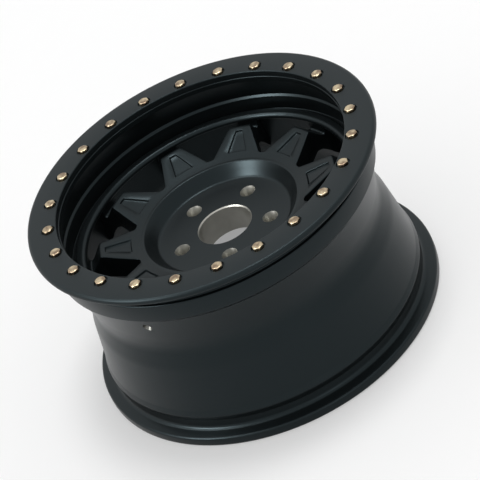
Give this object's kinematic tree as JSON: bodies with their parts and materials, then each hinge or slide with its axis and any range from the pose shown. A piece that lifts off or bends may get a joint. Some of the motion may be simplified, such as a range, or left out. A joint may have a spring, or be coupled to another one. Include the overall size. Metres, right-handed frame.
{
  "type": "beadlock wheel",
  "caption": "Cast off-road wheel with tapered spokes and an outer clamping ring, bolted on to hold the outboard tyre bead.",
  "frame": {"origin": "centre of the hub mounting face, on the wheel's axis", "axes": "+Z along the axis towards the outboard side, +Y through one stud hole; the wheel stands on its inboard flange"},
  "size_m": [0.471, 0.471, 0.2572],
  "materials": {
    "casting": "satin black powder coat on cast aluminium",
    "ring": "satin black powder coat on machined aluminium",
    "bolts": "yellow zinc plate"
  },
  "bodies": {
    "root": {"wheel": "casting", "clamp_ring": "ring", "ring_bolts": "bolts"}
  },
  "joints": []
}
